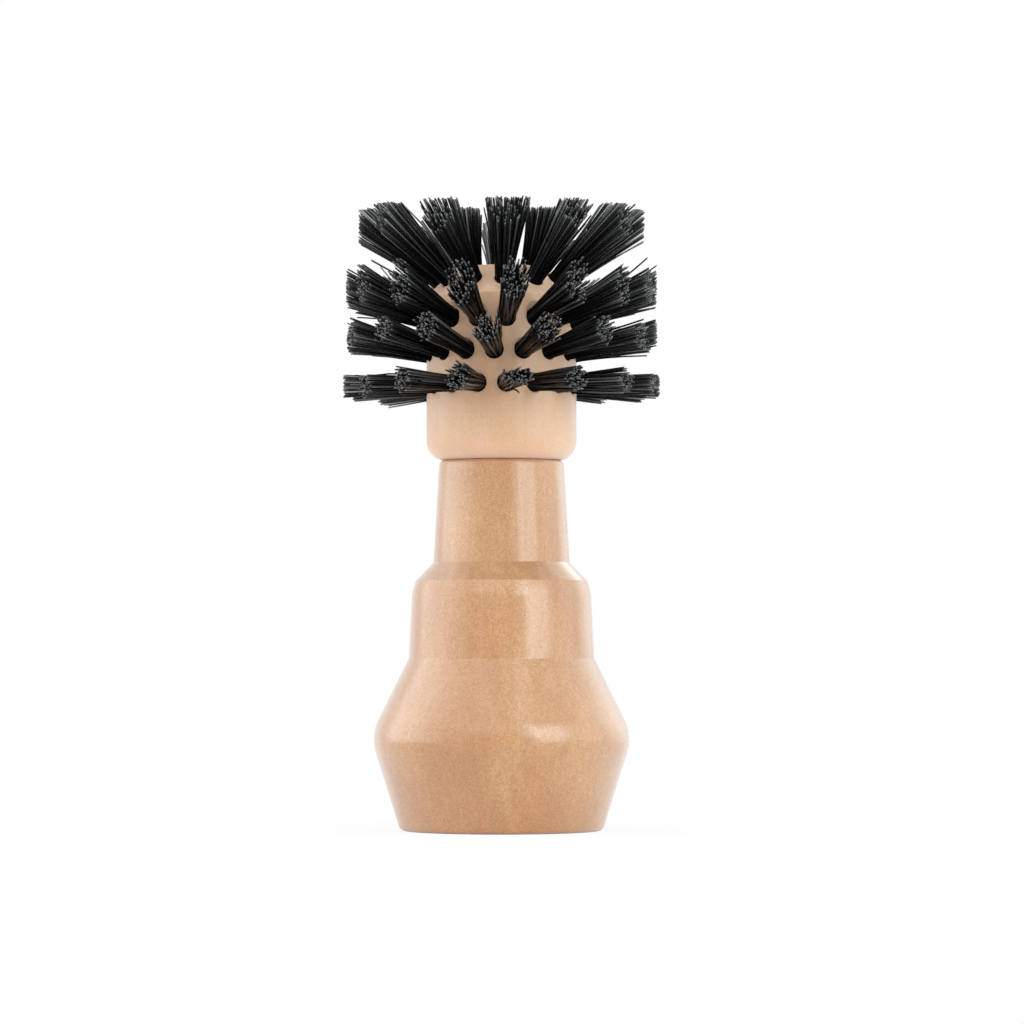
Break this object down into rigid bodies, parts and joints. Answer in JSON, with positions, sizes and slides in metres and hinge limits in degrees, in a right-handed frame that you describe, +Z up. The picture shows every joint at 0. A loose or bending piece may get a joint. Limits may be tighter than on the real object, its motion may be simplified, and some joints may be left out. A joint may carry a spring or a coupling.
{
  "type": "portafilter brush",
  "caption": "Coffee brush with a bulbous turned wooden handle and a screw-on wooden head of black radial bristle tufts, trimmed flat on top to scrub a filter basket.",
  "frame": {"origin": "centre of the handle's flat foot", "axes": "+Z up the brush's axis from the foot to the bristles, -Y towards the side that the picture shows"},
  "size_m": [0.058, 0.058, 0.1132],
  "materials": {
    "handle_wood": "clear-lacquered beech, orange tan with short dark flecks",
    "head_wood": "pale smooth satin beech",
    "stud_steel": "zinc-plated",
    "insert_brass": "turned brass",
    "bristle": "black nylon filament, semi-gloss sides and grey cut ends"
  },
  "bodies": {
    "handle": {"handle": "handle_wood"},
    "stud": {"threaded_stud": "stud_steel"},
    "head": {"brush_head": "head_wood", "head_insert": "insert_brass", "tuft_row1_01": "bristle", "tuft_row1_02": "bristle", "tuft_row1_03": "bristle", "tuft_row1_04": "bristle", "tuft_row1_05": "bristle", "tuft_row1_06": "bristle", "tuft_row1_07": "bristle", "tuft_row1_08": "bristle", "tuft_row1_09": "bristle", "tuft_row1_10": "bristle", "tuft_row1_11": "bristle", "tuft_row1_12": "bristle", "tuft_row1_13": "bristle", "tuft_row1_14": "bristle", "tuft_row1_15": "bristle", "tuft_row1_16": "bristle", "tuft_row2_01": "bristle", "tuft_row2_02": "bristle", "tuft_row2_03": "bristle", "tuft_row2_04": "bristle", "tuft_row2_05": "bristle", "tuft_row2_06": "bristle", "tuft_row2_07": "bristle", "tuft_row2_08": "bristle", "tuft_row2_09": "bristle", "tuft_row2_10": "bristle", "tuft_row2_11": "bristle", "tuft_row2_12": "bristle", "tuft_row2_13": "bristle", "tuft_row2_14": "bristle", "tuft_row2_15": "bristle", "tuft_row2_16": "bristle", "tuft_row3_01": "bristle", "tuft_row3_02": "bristle", "tuft_row3_03": "bristle", "tuft_row3_04": "bristle", "tuft_row3_05": "bristle", "tuft_row3_06": "bristle", "tuft_row3_07": "bristle", "tuft_row3_08": "bristle", "tuft_row3_09": "bristle", "tuft_row3_10": "bristle", "tuft_row3_11": "bristle", "tuft_row3_12": "bristle", "tuft_row3_13": "bristle", "tuft_row3_14": "bristle", "tuft_row3_15": "bristle", "tuft_row3_16": "bristle", "tuft_crown_01": "bristle", "tuft_crown_02": "bristle", "tuft_crown_03": "bristle", "tuft_crown_04": "bristle", "tuft_crown_05": "bristle", "tuft_crown_06": "bristle", "tuft_centre": "bristle", "tufts_row4": "bristle"}
  },
  "joints": [
    {"name": "head_turn", "type": "hinge", "parent": "handle", "child": "stud", "pos_m": [0, 0, 0.0672], "axis": [0, 0, 1], "range_deg": [0, 2880]},
    {"name": "head_lift", "type": "slide", "parent": "stud", "child": "head", "axis": [0, 0, 1], "range_m": [0, 0.01]}
  ],
  "couplings": [
    {"joint": "head_lift", "follows": "head_turn", "m_per_rad": 0.00019894}
  ]
}
